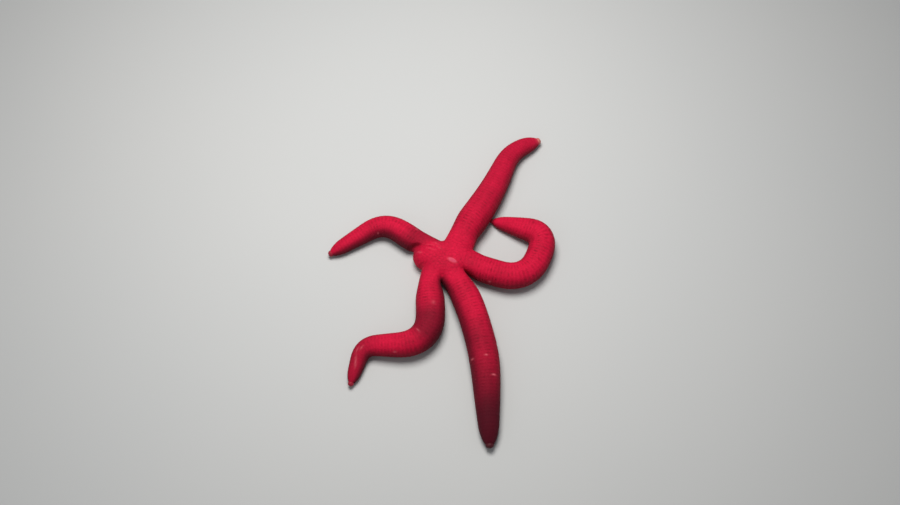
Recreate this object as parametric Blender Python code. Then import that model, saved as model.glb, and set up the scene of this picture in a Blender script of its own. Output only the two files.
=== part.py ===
"""A purple starfish, Ophidiaster ophidianus, at life size, lying still: its solids.

The body is a small disc with five round arms. Each arm is a tube of rings that
follows a bent line over the floor; the roots of neighbouring arms share the
points of the notch between them, so disc and arms are one closed outline. Thin
cuts part it into the disc and three lengths of each arm, with a hard plate at
each tip and the sieve plate on the disc. Metres, +Z up, the floor at z = 0.
"""

from math import ceil, cos, radians, sin, sqrt

import bmesh
import bpy
from mathutils import Vector

GAP = 0.0003                            # left between pieces that touch
DISC_CENTRE = Vector((0.0042, 0.0193))  # so that the whole outline's middle is at x = y = 0
DISC_HEIGHT = 0.0210
MOUTH_HEIGHT = 0.0045                   # roof of the hollow round the mouth
RING_STEP = 0.0042                      # along an arm, from ring to ring
LINE_STEP = 0.0005                      # along an arm, in the sum that gives its line
ROOT_RUN = 0.015                        # an arm leaves the shape of the notches over this run
SWELL_RUN = 0.024                       # an arm thickens beyond its root over this run
STUB_RUN = 0.007                        # of each arm, left on the disc
PLATE_RUN = 0.0022                      # thickness of the hard plate at an arm's tip
PLATE_SHARE = 0.45                      # its width over the width of the tip
TIP_ROUNDING = 1.3                      # length of the tip's rounding over its width
TAPER_POWER = 1.4                       # an arm thins by this power of the share of its taper

# Cross-section of an arm, as shares of its half width and its height.
WIDEST_LEVEL = 0.45
SQUARENESS = 2.2                    # exponent of the round stretch; 2 is an ellipse
SIDE_ANGLES = (-54, -30, -6, 18, 42, 66, 90)
RAIL_OUTER = 0.42
RAIL_INNER = 0.16
GROOVE_ROOF = 0.16
HEIGHT_OVER_WIDTH = 0.93

# The valley between two arms is a notch of three points. These are their places in a ring's
# right side, and the share that the points next to them follow by.
NOTCH_PLACES = (4, 5, 6)
FOLLOWERS = {1: (4, 0.05), 2: (4, 0.2), 3: (4, 0.6), 7: (6, 0.6), 8: (6, 0.2)}
CREASE_FOLLOWERS = {**FOLLOWERS, 7: (6, 0.88), 8: (6, 0.52), 9: (6, 0.12)}


def eased(share):
    """A smooth step from 0 to 1."""
    share = min(max(share, 0.0), 1.0)
    return share * share * (3.0 - 2.0 * share)


def round_end(share):
    """A quarter circle: 0 at the end, 1 from a share of 1 on."""
    share = min(max(share, 0.0), 1.0)
    return sqrt(1.0 - (1.0 - share) ** 2)


def half_section():
    """Points from the groove's roof, over the rail and the side, to the crest."""
    points = [(0.0, GROOVE_ROOF), (RAIL_INNER, 0.0), (RAIL_OUTER, 0.0)]
    for angle in SIDE_ANGLES:
        across = cos(radians(angle)) ** (2.0 / SQUARENESS) if angle < 90 else 0.0
        rise = abs(sin(radians(angle))) ** (2.0 / SQUARENESS)
        if angle < 0:
            points.append((across, WIDEST_LEVEL * (1.0 - rise)))
        else:
            points.append((across, WIDEST_LEVEL + (1.0 - WIDEST_LEVEL) * rise))
    return points


def whole_section():
    """The ring's points: roof, right side up to the crest, left side down again."""
    half = half_section()
    right = [(-across, level) for across, level in half]
    left = [(across, level) for across, level in reversed(half[1:-1])]
    return right + left


SECTION = whole_section()
RING_SIZE = len(SECTION)
LOW, _, HIGH = NOTCH_PLACES
TOP_SPAN = list(range(HIGH, RING_SIZE - HIGH + 1))
BOTTOM_SPAN = [i % RING_SIZE for i in range(LOW, -LOW - 1, -1)]


def around_disc(angle, radius, height):
    """A point at an angle in degrees and a distance from the disc's centre."""
    flat = DISC_CENTRE + radius * Vector((cos(radians(angle)), sin(radians(angle))))
    return Vector((flat.x, flat.y, height))


# The low, widest and high point of each notch: angle in degrees, distance from the disc's
# centre, and height.
NOTCH_SPOTS = {
    "ab": ((21, 0.0205, 0.0042), (19, 0.0215, 0.0086), (14, 0.0210, 0.0148)),
    "ea": ((101, 0.0135, 0.0042), (102, 0.0142, 0.0084), (104, 0.0127, 0.0142)),
    "before_shoulder": ((166, 0.0270, 0.0042), (165, 0.0280, 0.0082), (157, 0.0238, 0.0118)),
    "after_shoulder": ((208, 0.0207, 0.0042), (206, 0.0218, 0.0082), (205, 0.0204, 0.0140)),
    "cd": ((256, 0.0198, 0.0042), (257, 0.0206, 0.0084), (258, 0.0202, 0.0142)),
    "bc": ((321, 0.0175, 0.0042), (320, 0.0186, 0.0088), (317, 0.0182, 0.0150)),
}
NOTCHES = {key: [around_disc(*spot) for spot in spots] for key, spots in NOTCH_SPOTS.items()}


class Arm:
    """One arm: its line over the floor, its widths, and its rings."""

    def __init__(self, name, heading, bends, length, widths, taper_from, root_at, notches):
        self.name = name
        self.heading_at_root = heading
        self.bends = bends
        self.length = length
        self.root_width, self.swell_width, self.tip_width, self.root_height = widths
        self.taper_from = taper_from
        self.root_at = root_at
        self.flesh_end = length - PLATE_RUN
        self.line = [DISC_CENTRE.to_3d()]
        for step in range(ceil(length / LINE_STEP) + 1):
            ahead = self.heading((step + 0.5) * LINE_STEP)
            self.line.append(self.line[-1] + LINE_STEP * Vector((cos(ahead), sin(ahead), 0.0)))
        self.notches = notches
        self.shifts = [Vector((0.0, 0.0, 0.0)) for _ in SECTION]
        plain = self.plain_ring(root_at)
        for key, turn in zip(notches, (1, -1)):
            for place, point in zip(NOTCH_PLACES, NOTCHES[key]):
                self.shifts[turn * place] = point - plain[turn * place]
            followers = CREASE_FOLLOWERS if key == "before_shoulder" else FOLLOWERS
            for place, (leader, share) in followers.items():
                self.shifts[turn * place] = share * self.shifts[turn * leader]

    def heading(self, along):
        """Direction of the line, in radians: the start, and each bend's share of its turn."""
        turned = sum(turn * eased((along - at) / run + 0.5) for at, turn, run in self.bends)
        return radians(self.heading_at_root + turned)

    def place(self, along):
        """Point of the line at a distance from the disc's centre."""
        step = int(along / LINE_STEP)
        return self.line[step].lerp(self.line[step + 1], along / LINE_STEP - step)

    def width(self, along):
        """Width, without the rounding of the tip."""
        swell = eased((along - self.root_at) / SWELL_RUN)
        thin = max(0.0, (along - self.taper_from) / (self.length - self.taper_from)) ** TAPER_POWER
        wide = self.root_width + (self.swell_width - self.root_width) * swell
        return wide + (self.tip_width - self.swell_width) * thin

    def height(self, along):
        """Height, without the rounding of the tip; it is blended in from that of the root."""
        left = 1.0 - eased((along - self.root_at) / SWELL_RUN)
        lift = self.root_height - HEIGHT_OVER_WIDTH * self.root_width
        return HEIGHT_OVER_WIDTH * self.width(along) + lift * left

    def shrink(self, along):
        """The rounding of the tip: a share of the section, with the plate's own dome."""
        if along > self.flesh_end:
            return PLATE_SHARE * round_end((self.length - along) / PLATE_RUN)
        run = TIP_ROUNDING * self.tip_width
        start = 1.0 - sqrt(1.0 - PLATE_SHARE ** 2)
        return round_end(start + (self.flesh_end - along) / run)

    def plain_ring(self, along):
        ahead = self.heading(along)
        left = Vector((-sin(ahead), cos(ahead), 0.0))
        middle = self.place(along)
        half = 0.5 * self.width(along)
        height = self.height(along)
        core = WIDEST_LEVEL * height
        shrink = self.shrink(along)
        points = []
        for across, level in SECTION:
            lift = core + (level * height - core) * shrink
            points.append(middle + left * (across * half * shrink) + Vector((0.0, 0.0, lift)))
        return points

    def ring(self, along):
        """The plain ring, drawn to the notches near the root."""
        pull = 1.0 - eased((along - self.root_at) / ROOT_RUN)
        return [point + pull * shift for point, shift in zip(self.plain_ring(along), self.shifts)]

    def rings(self, start, end):
        """Rings from start to end, evenly spaced."""
        count = max(1, round((end - start) / RING_STEP))
        return [self.ring(start + (end - start) * i / count) for i in range(count + 1)]


# Counted round the disc against the clock, from the arm that curls; bends are
# (distance along, turn in degrees, run), widths are at the root, the
# swell and the tip, with the height at the root.
ARMS = [
    Arm("arm_b", -18.5, [(0.0632, 87.6, 0.048), (0.1007, 91.5, 0.028)], 0.1459,
        (0.0215, 0.0218, 0.0068, 0.0200), 0.102, 0.0155, ("bc", "ab")),
    Arm("arm_a", 58.0, [(0.070, 10, 0.060), (0.1128, -42.4, 0.038)], 0.1405,
        (0.0207, 0.0258, 0.0120, 0.0200), 0.037, 0.0155, ("ab", "ea")),
    Arm("arm_e", 151.5, [(0.0182, -7, 0.025), (0.059, 67.7, 0.034)], 0.110,
        (0.0204, 0.0207, 0.0100, 0.0150), 0.032, 0.0180, ("ea", "before_shoulder")),
    Arm("arm_d", 225.4, [(0.019, 46.8, 0.038), (0.0716, -92.4, 0.048), (0.1176, 74.3, 0.022)],
        0.149, (0.0163, 0.0236, 0.0088, 0.0190), 0.057, 0.0175, ("after_shoulder", "cd")),
    Arm("arm_c", -75.8, [(0.0118, 16.8, 0.020), (0.0375, -16, 0.056), (0.087, -12.8, 0.052)],
        0.1577, (0.0192, 0.0240, 0.0130, 0.0198), 0.088, 0.0155, ("cd", "bc")),
]

# The swollen shoulder of the disc, between the two notches before arm D.
SHOULDER_BULGE = 0.0024
SHOULDER_RISES = (0.0005, 0.0012, 0.0024)
SHOULDER_SPANS = 6

# Rings of the disc's top and bottom, as shares of the way out from the centre. Towards the
# centre they grow round, and keep their level by a power of the share.
TOP_SHARES = (0.82, 0.6, 0.32)
BOTTOM_SHARES = (0.75, 0.45, 0.22)
ROUND_RADIUS = 0.0200
TOP_FALL = 3.0
NOTCH_FALL = 5.0
CREASE_FALL = 4.2
SHOULDER_FALL = 4.5
BOTTOM_FALL = 1.5
GROOVE_FALL = 0.0

SIEVE_PLACE = Vector((0.0041, -0.0067))
SIEVE_LENGTH = 0.0066
SIEVE_WIDTH = 0.0027
SIEVE_TURN = -27
SIEVE_BASE = 0.0190
SIEVE_TOP = 0.0212


def principled(name, colour, roughness):
    material = bpy.data.materials.new(name)
    material.use_nodes = True
    shader = material.node_tree.nodes["Principled BSDF"]
    shader.inputs["Base Color"].default_value = (*colour, 1.0)
    shader.inputs["Roughness"].default_value = roughness
    shader.inputs["Metallic"].default_value = 0.0
    return material


def add_node(name, mesh_builder, colour, roughness):
    """Turns a bmesh into an object with its own material, its faces outwards."""
    bmesh.ops.recalc_face_normals(mesh_builder, faces=mesh_builder.faces)
    mesh = bpy.data.meshes.new(name)
    mesh_builder.to_mesh(mesh)
    mesh_builder.free()
    mesh.materials.append(principled(name, colour, roughness))
    node = bpy.data.objects.new(name, mesh)
    bpy.context.scene.collection.objects.link(node)
    return node


def join_rings(mesh_builder, first, second):
    """Quads between two closed rings of vertices."""
    size = len(first)
    for i in range(size):
        after = (i + 1) % size
        mesh_builder.faces.new((first[i], first[after], second[after], second[i]))


def close_ring(mesh_builder, ring, apex):
    """A fan from a ring to one point."""
    centre = mesh_builder.verts.new(apex)
    for i in range(len(ring)):
        mesh_builder.faces.new((ring[i], ring[(i + 1) % len(ring)], centre))


def middle_of(points):
    return sum(points, Vector((0.0, 0.0, 0.0))) / len(points)


def add_length(name, arm, start, end, colour):
    """One length of an arm, flat at both ends."""
    builder = bmesh.new()
    outline = arm.rings(start, end)
    rings = [[builder.verts.new(point) for point in ring] for ring in outline]
    for first, second in zip(rings, rings[1:]):
        join_rings(builder, first, second)
    close_ring(builder, rings[0], middle_of(outline[0]))
    close_ring(builder, rings[-1], middle_of(outline[-1]))
    return add_node(name, builder, colour, 0.75)


def add_tip_plate(name, arm):
    """The hard plate that ends an arm, a low dome."""
    builder = bmesh.new()
    start = arm.flesh_end + GAP
    shares = (0.0, 0.35, 0.65, 0.88)
    outline = [arm.ring(start + (arm.length - start) * share) for share in shares]
    rings = [[builder.verts.new(point) for point in ring] for ring in outline]
    for first, second in zip(rings, rings[1:]):
        join_rings(builder, first, second)
    close_ring(builder, rings[0], middle_of(outline[0]))
    tip = arm.place(arm.length)
    tip.z = WIDEST_LEVEL * HEIGHT_OVER_WIDTH * arm.tip_width
    close_ring(builder, rings[-1], tip)
    return add_node(name, builder, (0.46, 0.07, 0.08), 0.6)


def shoulder_rows():
    """Three rows of points round the shoulder, notch to notch, from low to high."""
    rows = []
    ends = zip(NOTCH_SPOTS["before_shoulder"], NOTCH_SPOTS["after_shoulder"])
    for (start, end), rise in zip(ends, SHOULDER_RISES):
        points = []
        for i in range(1, SHOULDER_SPANS):
            share = i / SHOULDER_SPANS
            swell = sin(radians(180 * share))
            angle, radius, height = (a + (b - a) * share for a, b in zip(start, end))
            points.append(around_disc(angle, radius + SHOULDER_BULGE * swell, height + rise * swell))
        rows.append(points)
    return rows


def add_shoulder(builder, before, after):
    """The shoulder's wall; returns its low and its high edge, without the last notch."""
    rows = [[builder.verts.new(point) for point in row] for row in shoulder_rows()]
    rows = [[first, *row, last] for first, row, last in zip(before, rows, after)]
    for lower, upper in zip(rows, rows[1:]):
        for i in range(SHOULDER_SPANS):
            builder.faces.new((lower[i], lower[i + 1], upper[i + 1], upper[i]))
    return rows[0][:-1], rows[2][:-1]


def add_cap(builder, loop, falls, shares, level, apex):
    """Rings from a loop in to the disc's centre, closed by a fan."""
    ring = loop
    for share in shares:
        inner = []
        for vert, fall in zip(loop, falls):
            out = vert.co.to_2d() - DISC_CENTRE
            out *= share * (share + (1.0 - share) * ROUND_RADIUS / out.length)
            height = level + (vert.co.z - level) * share ** fall
            inner.append(builder.verts.new((*(DISC_CENTRE + out), height)))
        join_rings(builder, ring, inner)
        ring = inner
    close_ring(builder, ring, (*DISC_CENTRE, apex))


def add_disc():
    """The disc with the stubs of its arms, its shoulder and the hollow of its mouth."""
    builder = bmesh.new()
    notches = {key: [builder.verts.new(point) for point in points]
               for key, points in NOTCHES.items()}
    top_loop = []
    top_falls = []
    bottom_loop = []
    bottom_falls = []
    for arm in ARMS:
        right, left = (notches[key] for key in arm.notches)
        if arm.notches[0] == "after_shoulder":
            low_edge, high_edge = add_shoulder(builder, notches["before_shoulder"], right)
            bottom_loop += low_edge
            top_loop += high_edge
            top_falls += [CREASE_FALL] + [SHOULDER_FALL] * (SHOULDER_SPANS - 1)
            bottom_falls += [BOTTOM_FALL] * SHOULDER_SPANS
        shared = {place: vert for place, vert in zip(NOTCH_PLACES, right)}
        shared.update({RING_SIZE - place: vert for place, vert in zip(NOTCH_PLACES, left)})
        outline = arm.rings(arm.root_at, arm.root_at + STUB_RUN)
        ring = [shared.get(i) or builder.verts.new(point) for i, point in enumerate(outline[0])]
        top_loop += [ring[i] for i in TOP_SPAN[:-1]]
        bottom_loop += [ring[i] for i in BOTTOM_SPAN[:-1]]
        fall = SHOULDER_FALL if arm.name == "arm_e" else TOP_FALL
        top_falls += [NOTCH_FALL] * 2 + [fall] * (len(TOP_SPAN) - 4) + [NOTCH_FALL]
        bottom_falls += [BOTTOM_FALL if i else GROOVE_FALL for i in BOTTOM_SPAN[:-1]]
        for points in outline[1:]:
            following = [builder.verts.new(point) for point in points]
            join_rings(builder, ring, following)
            ring = following
        close_ring(builder, ring, middle_of(outline[-1]))
    add_cap(builder, top_loop, top_falls, TOP_SHARES, DISC_HEIGHT, DISC_HEIGHT)
    add_cap(builder, bottom_loop, bottom_falls, BOTTOM_SHARES, 0.0, MOUTH_HEIGHT)
    return add_node("disc", builder, (0.42, 0.012, 0.035), 0.75)


def add_sieve_plate(disc):
    """The sieve plate: an oval button in a pocket of the disc's top."""
    def oval(name, grow, base, top, bevel):
        builder = bmesh.new()
        bmesh.ops.create_cone(builder, cap_ends=True, segments=20, radius1=1.0, radius2=1.0,
                              depth=1.0)
        turn = radians(SIEVE_TURN)
        for vert in builder.verts:
            x = vert.co.x * (0.5 * SIEVE_LENGTH + grow)
            y = vert.co.y * (0.5 * SIEVE_WIDTH + grow)
            vert.co.z = base + (vert.co.z + 0.5) * (top - base)
            vert.co.x = DISC_CENTRE.x + SIEVE_PLACE.x + x * cos(turn) - y * sin(turn)
            vert.co.y = DISC_CENTRE.y + SIEVE_PLACE.y + x * sin(turn) + y * cos(turn)
        if bevel:
            rim = [edge for edge in builder.edges if all(v.co.z > top - 1e-6 for v in edge.verts)]
            bmesh.ops.bevel(builder, geom=rim, offset=bevel, segments=2, profile=0.5,
                            affect="EDGES")
        return add_node(name, builder, (0.48, 0.16, 0.16), 0.65)

    oval("madreporite", 0.0, SIEVE_BASE + GAP, SIEVE_TOP, 0.0007)
    pocket = oval("pocket_of_madreporite", GAP, SIEVE_BASE, SIEVE_TOP + 0.002, 0.0)
    cut = disc.modifiers.new("pocket", "BOOLEAN")
    cut.operation = "DIFFERENCE"
    cut.object = pocket
    pocket.hide_render = True
    pocket.display_type = "WIRE"


for old in list(bpy.data.objects):
    bpy.data.objects.remove(old)

disc_node = add_disc()
add_sieve_plate(disc_node)
for arm in ARMS:
    first = arm.root_at + STUB_RUN + GAP
    third = (arm.flesh_end - first) / 3.0
    for number, part_name in enumerate(("base", "middle", "end")):
        begin = first + number * third + (GAP if number else 0.0)
        finish = first + (number + 1) * third
        shade = 0.40 - 0.03 * number
        add_length(f"{arm.name}_{part_name}", arm, begin, finish, (shade, 0.011, 0.033))
    add_tip_plate(f"{arm.name}_plate", arm)
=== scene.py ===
from math import ceil, cos, pi, radians, sin, sqrt

import bmesh
import bpy
import numpy as np
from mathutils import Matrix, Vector


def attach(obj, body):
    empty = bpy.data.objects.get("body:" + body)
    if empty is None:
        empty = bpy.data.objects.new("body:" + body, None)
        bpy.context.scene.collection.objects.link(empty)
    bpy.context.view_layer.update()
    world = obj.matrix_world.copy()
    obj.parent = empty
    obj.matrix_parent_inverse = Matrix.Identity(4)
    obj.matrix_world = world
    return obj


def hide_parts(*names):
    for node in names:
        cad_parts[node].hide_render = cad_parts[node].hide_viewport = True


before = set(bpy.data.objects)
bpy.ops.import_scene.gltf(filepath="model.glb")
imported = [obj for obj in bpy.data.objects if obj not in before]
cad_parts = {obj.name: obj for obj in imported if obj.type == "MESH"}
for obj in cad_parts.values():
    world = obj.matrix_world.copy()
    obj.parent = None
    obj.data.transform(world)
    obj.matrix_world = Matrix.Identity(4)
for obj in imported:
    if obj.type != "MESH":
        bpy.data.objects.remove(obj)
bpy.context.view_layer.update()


# ---------------------------------------------------------------------------
# Skin. The body wall of disc and arms is one soft velvet skin over small limy
# plates, which lie in rings across each arm, with fields of pores sunk between
# them. It is one piece without a seam, and holds everything else.

DISC_CENTRE = Vector((0.0042, 0.0193))

# An arm's section: round, with a groove between the two rails that it rests on.
SIDE_ANGLES = (-54, -30, -6, 18, 42, 66, 90)
SQUARENESS = 2.2  # 2 would be an ellipse
WIDEST_LEVEL = 0.45  # share of the height
GROOVE_ROOF = 0.16  # share of the height
RAIL_INNER = 0.16  # share of the half width
RAIL_OUTER = 0.42
NOTCH_PLACES = (4, 5, 6)  # places in a ring that meet a notch: low, widest and high


def eased(value, start=0.0, run=1.0):
    """A smooth step from 0 at a start to 1 after a run, for numbers and arrays."""
    share = np.clip((value - start) / run, 0.0, 1.0)
    return share * share * (3.0 - 2.0 * share)


def arm_section():
    """An arm's ring as shares of half width and height: roof, right side, crest, left side."""
    half = [(0.0, GROOVE_ROOF), (RAIL_INNER, 0.0), (RAIL_OUTER, 0.0)]
    for angle in SIDE_ANGLES:
        across = cos(radians(angle)) ** (2.0 / SQUARENESS) if angle < 90 else 0.0
        rise = abs(sin(radians(angle))) ** (2.0 / SQUARENESS)
        reach = 1.0 - WIDEST_LEVEL if angle > 0 else -WIDEST_LEVEL
        half.append((across, WIDEST_LEVEL + reach * rise))
    return [(-across, level) for across, level in half] + half[-2:0:-1]


SECTION = arm_section()
RING_SIZE = len(SECTION)
CREST = RING_SIZE // 2
LOW, _, HIGH = NOTCH_PLACES
TOP_SPAN = list(range(HIGH, RING_SIZE - HIGH + 1))
BOTTOM_SPAN = [i % RING_SIZE for i in range(LOW, -LOW - 1, -1)]

# The low, widest and high point of the notches between arms: angle in degrees, distance
# from the disc's centre, and height.
NOTCH_SPOTS = {
    "ab": ((21, 0.0205, 0.0042), (19, 0.0215, 0.0086), (14, 0.0210, 0.0148)),
    "ea": ((101, 0.0135, 0.0042), (102, 0.0142, 0.0084), (104, 0.0127, 0.0142)),
    "before_shoulder": ((166, 0.0270, 0.0042), (165, 0.0280, 0.0082), (157, 0.0238, 0.0118)),
    "after_shoulder": ((208, 0.0207, 0.0042), (206, 0.0218, 0.0082), (205, 0.0204, 0.0140)),
    "cd": ((256, 0.0198, 0.0042), (257, 0.0206, 0.0084), (258, 0.0202, 0.0142)),
    "bc": ((321, 0.0175, 0.0042), (320, 0.0186, 0.0088), (317, 0.0182, 0.0150)),
}


def around_disc(angle, radius, height):
    flat = DISC_CENTRE + radius * Vector((cos(radians(angle)), sin(radians(angle))))
    return Vector((flat.x, flat.y, height))


NOTCHES = {key: [around_disc(*spot) for spot in spots] for key, spots in NOTCH_SPOTS.items()}

# Places in a ring that follow a place at the notch, and how far; more so at the crease
# before the shoulder.
FOLLOWERS = {1: (4, 0.05), 2: (4, 0.2), 3: (4, 0.6), 7: (6, 0.6), 8: (6, 0.2)}
CREASE_FOLLOWERS = {**FOLLOWERS, 7: (6, 0.88), 8: (6, 0.52), 9: (6, 0.12)}
ROOT_RUN = 0.015  # over which an arm leaves its notches
SWELL_RUN = 0.024  # over which it swells from its root
LINE_STEP = 0.0005
HEIGHT_OVER_WIDTH = 0.93
TAPER_POWER = 1.4
TIP_ROUNDING = 1.3  # in widths of the tip
PLATE_RUN = 0.0022  # length of the hard plate
PLATE_SHARE = 0.45  # width of the hard plate, as a share of the tip's


def round_end(share):
    """A quarter circle: 0 at the end, 1 from a share of 1 on."""
    share = min(max(share, 0.0), 1.0)
    return sqrt(1.0 - (1.0 - share) ** 2)


class Arm:
    """One arm: its line over the floor, its widths, and its rings."""

    def __init__(self, name, heading, bends, length, widths, taper_from, root_at, notches):
        self.name = name
        self.heading_at_root = heading
        self.bends = bends
        self.length = length
        self.root_width, self.swell_width, self.tip_width, self.root_height = widths
        self.taper_from = taper_from
        self.root_at = root_at
        self.flesh_end = length - PLATE_RUN
        self.line = [DISC_CENTRE.to_3d()]
        for step in range(ceil(length / LINE_STEP) + 1):
            ahead = self.heading((step + 0.5) * LINE_STEP)
            self.line.append(self.line[-1] + LINE_STEP * Vector((cos(ahead), sin(ahead), 0.0)))
        self.shifts = [Vector((0.0, 0.0, 0.0)) for _ in SECTION]
        plain = self.plain_ring(root_at)
        for key, turn in zip(notches, (1, -1)):
            for place, point in zip(NOTCH_PLACES, NOTCHES[key]):
                self.shifts[turn * place] = point - plain[turn * place]
            followers = CREASE_FOLLOWERS if key == "before_shoulder" else FOLLOWERS
            for place, (leader, share) in followers.items():
                self.shifts[turn * place] = share * self.shifts[turn * leader]

    def heading(self, along):
        turned = sum(turn * eased((along - at) / run + 0.5) for at, turn, run in self.bends)
        return radians(self.heading_at_root + turned)

    def place(self, along):
        step = int(along / LINE_STEP)
        return self.line[step].lerp(self.line[step + 1], along / LINE_STEP - step)

    def width(self, along):
        swell = eased(along, self.root_at, SWELL_RUN)
        thin = max(0.0, (along - self.taper_from) / (self.length - self.taper_from)) ** TAPER_POWER
        wide = self.root_width + (self.swell_width - self.root_width) * swell
        return wide + (self.tip_width - self.swell_width) * thin

    def height(self, along):
        """Height, without the rounding of the tip; it is blended in from that of the root."""
        left = 1.0 - eased(along, self.root_at, SWELL_RUN)
        lift = self.root_height - HEIGHT_OVER_WIDTH * self.root_width
        return HEIGHT_OVER_WIDTH * self.width(along) + lift * left

    def shrink(self, along):
        """The rounding of the tip, as a share of the section, with the plate's own dome."""
        if along > self.flesh_end:
            return PLATE_SHARE * round_end((self.length - along) / PLATE_RUN)
        run = TIP_ROUNDING * self.tip_width
        start = 1.0 - sqrt(1.0 - PLATE_SHARE ** 2)
        return round_end(start + (self.flesh_end - along) / run)

    def plain_ring(self, along):
        ahead = self.heading(along)
        left = Vector((-sin(ahead), cos(ahead), 0.0))
        middle = self.place(along)
        half = 0.5 * self.width(along)
        height = self.height(along)
        core = WIDEST_LEVEL * height
        shrink = self.shrink(along)
        points = []
        for across, level in SECTION:
            lift = core + (level * height - core) * shrink
            points.append(middle + left * (across * half * shrink) + Vector((0.0, 0.0, lift)))
        return points

    def ring(self, along):
        """The plain ring, drawn to the notches near the root."""
        pull = 1.0 - eased(along, self.root_at, ROOT_RUN)
        return [point + shift * pull for point, shift in zip(self.plain_ring(along), self.shifts)]


# Name, heading in degrees, bends (distance along, degrees, run), length, widths at root,
# swell and tip with the height at the root, start of the taper, root, right and left notch.
ARMS = [
    Arm("arm_b", -18.5, [(0.0632, 87.6, 0.048), (0.1007, 91.5, 0.028)], 0.1459,
        (0.0215, 0.0218, 0.0068, 0.0200), 0.102, 0.0155, ("bc", "ab")),
    Arm("arm_a", 58.0, [(0.070, 10, 0.060), (0.1128, -42.4, 0.038)], 0.1405,
        (0.0207, 0.0258, 0.0120, 0.0200), 0.037, 0.0155, ("ab", "ea")),
    Arm("arm_e", 151.5, [(0.0182, -7, 0.025), (0.059, 67.7, 0.034)], 0.110,
        (0.0204, 0.0207, 0.0100, 0.0150), 0.032, 0.0180, ("ea", "before_shoulder")),
    Arm("arm_d", 225.4, [(0.019, 46.8, 0.038), (0.0716, -92.4, 0.048), (0.1176, 74.3, 0.022)],
        0.149, (0.0163, 0.0236, 0.0088, 0.0190), 0.057, 0.0175, ("after_shoulder", "cd")),
    Arm("arm_c", -75.8, [(0.0118, 16.8, 0.020), (0.0375, -16, 0.056), (0.087, -12.8, 0.052)],
        0.1577, (0.0192, 0.0240, 0.0130, 0.0198), 0.088, 0.0155, ("cd", "bc")),
]

# The disc, and its swollen shoulder between arms E and D. A fall is the power by which
# the height changes from the disc's centre to a point of its edge.
DISC_HEIGHT = 0.0210
MOUTH_HEIGHT = 0.0045
TOP_SHARES = (0.86, 0.72, 0.58, 0.44, 0.30, 0.16)
BOTTOM_SHARES = (0.86, 0.72, 0.58, 0.44, 0.32, 0.22)
ROUND_RADIUS = 0.0200  # of the circle that the rings turn into on their way in
TOP_FALL = 3.0
NOTCH_FALL = 5.0
CREASE_FALL = 4.2
SHOULDER_FALL = 4.5
BOTTOM_FALL = 1.5
GROOVE_FALL = 0.0
SHOULDER_BULGE = 0.0024
SHOULDER_RISES = (0.0005, 0.0012, 0.0024)
SHOULDER_SPANS = 6

UNWRAP_SPAN = 0.300  # metres of skin across the whole unwrap
STRIP_LENGTH = 0.148
STRIP_PITCH = 0.080
STRIP_WIDTH = 0.076
STRIP_MARGIN = 0.002
TOP_PART, BOTTOM_PART, WALL_PART = 5, 6, 7
TOP_PATCH = Vector((0.186, 0.196))
BOTTOM_PATCH = Vector((0.258, 0.196))
WALL_PATCH = Vector((0.160, 0.231))
WALL_STEP = 0.0045

RING_PITCH = 0.0026  # of the rings of plates across an arm
SOLE_HEIGHT = 0.0005  # the skin stays above the floor by the depth of its coat
MERGE_DISTANCE = 1e-6


def cap_point(point, share, fall, level):
    """A point of the disc's top or bottom, a share of the way out to a point of its edge."""
    out = point.to_2d() - DISC_CENTRE
    out *= share * (share + (1.0 - share) * ROUND_RADIUS / out.length)
    flat = DISC_CENTRE + out
    return Vector((flat.x, flat.y, level + (point.z - level) * share ** fall))


def strip_place(part, along, column):
    """Place in the unwrap of a point of an arm."""
    x = STRIP_MARGIN + part % 2 * STRIP_LENGTH + along
    y = STRIP_MARGIN + part // 2 * STRIP_PITCH + column / RING_SIZE * STRIP_WIDTH
    return Vector((x, y)) / UNWRAP_SPAN


class Placed:
    """Points of the skin, by distance past their arm's root and place in the ring."""

    def place(self, part, unwrap):
        """Finds the places from the unwrap; part is the number of an arm, or of a patch."""
        spot = unwrap * UNWRAP_SPAN
        strip = spot[:, 1] - STRIP_MARGIN - part // 2 * STRIP_PITCH
        self.part = part
        self.along = spot[:, 0] - STRIP_MARGIN - part % 2 * STRIP_LENGTH
        self.column = strip / STRIP_WIDTH * RING_SIZE
        self.aside = np.minimum(self.column, RING_SIZE - self.column)
        self.on_arm = part < len(ARMS)


def start_chain(builder, points, closed):
    chain = [builder.verts.new(point) for point in points]
    ends = chain[1:] + chain[:1] if closed else chain[1:]
    for first, second in zip(chain, ends):
        builder.edges.new((first, second))
    return chain


def grow(builder, chain, points, closed, part, near, far):
    """Extrudes a chain of vertices to its next points, and unwraps the faces in between."""
    ends = chain[1:] + chain[:1] if closed else chain[1:]
    edges = [builder.edges.get(pair) for pair in zip(chain, ends)]
    made = bmesh.ops.extrude_edge_only(builder, edges=edges)["geom"]
    fresh = {item for item in made if isinstance(item, bmesh.types.BMVert)}
    following = []
    for vert, point in zip(chain, points):
        twin = next(edge.other_vert(vert) for edge in vert.link_edges
                    if edge.other_vert(vert) in fresh)
        twin.co = point
        following.append(twin)
    part_layer = builder.faces.layers.int["part"]
    unwrap = builder.loops.layers.uv["OFBake"]
    for i in range(len(ends)):
        after = (i + 1) % len(chain)
        corners = {chain[i]: near[i], chain[after]: near[i + 1],
                   following[i]: far[i], following[after]: far[i + 1]}
        face = builder.faces.get([chain[i], chain[after], following[after], following[i]])
        face[part_layer] = part
        for loop in face.loops:
            loop[unwrap].uv = corners[loop.vert]
    return following


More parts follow.
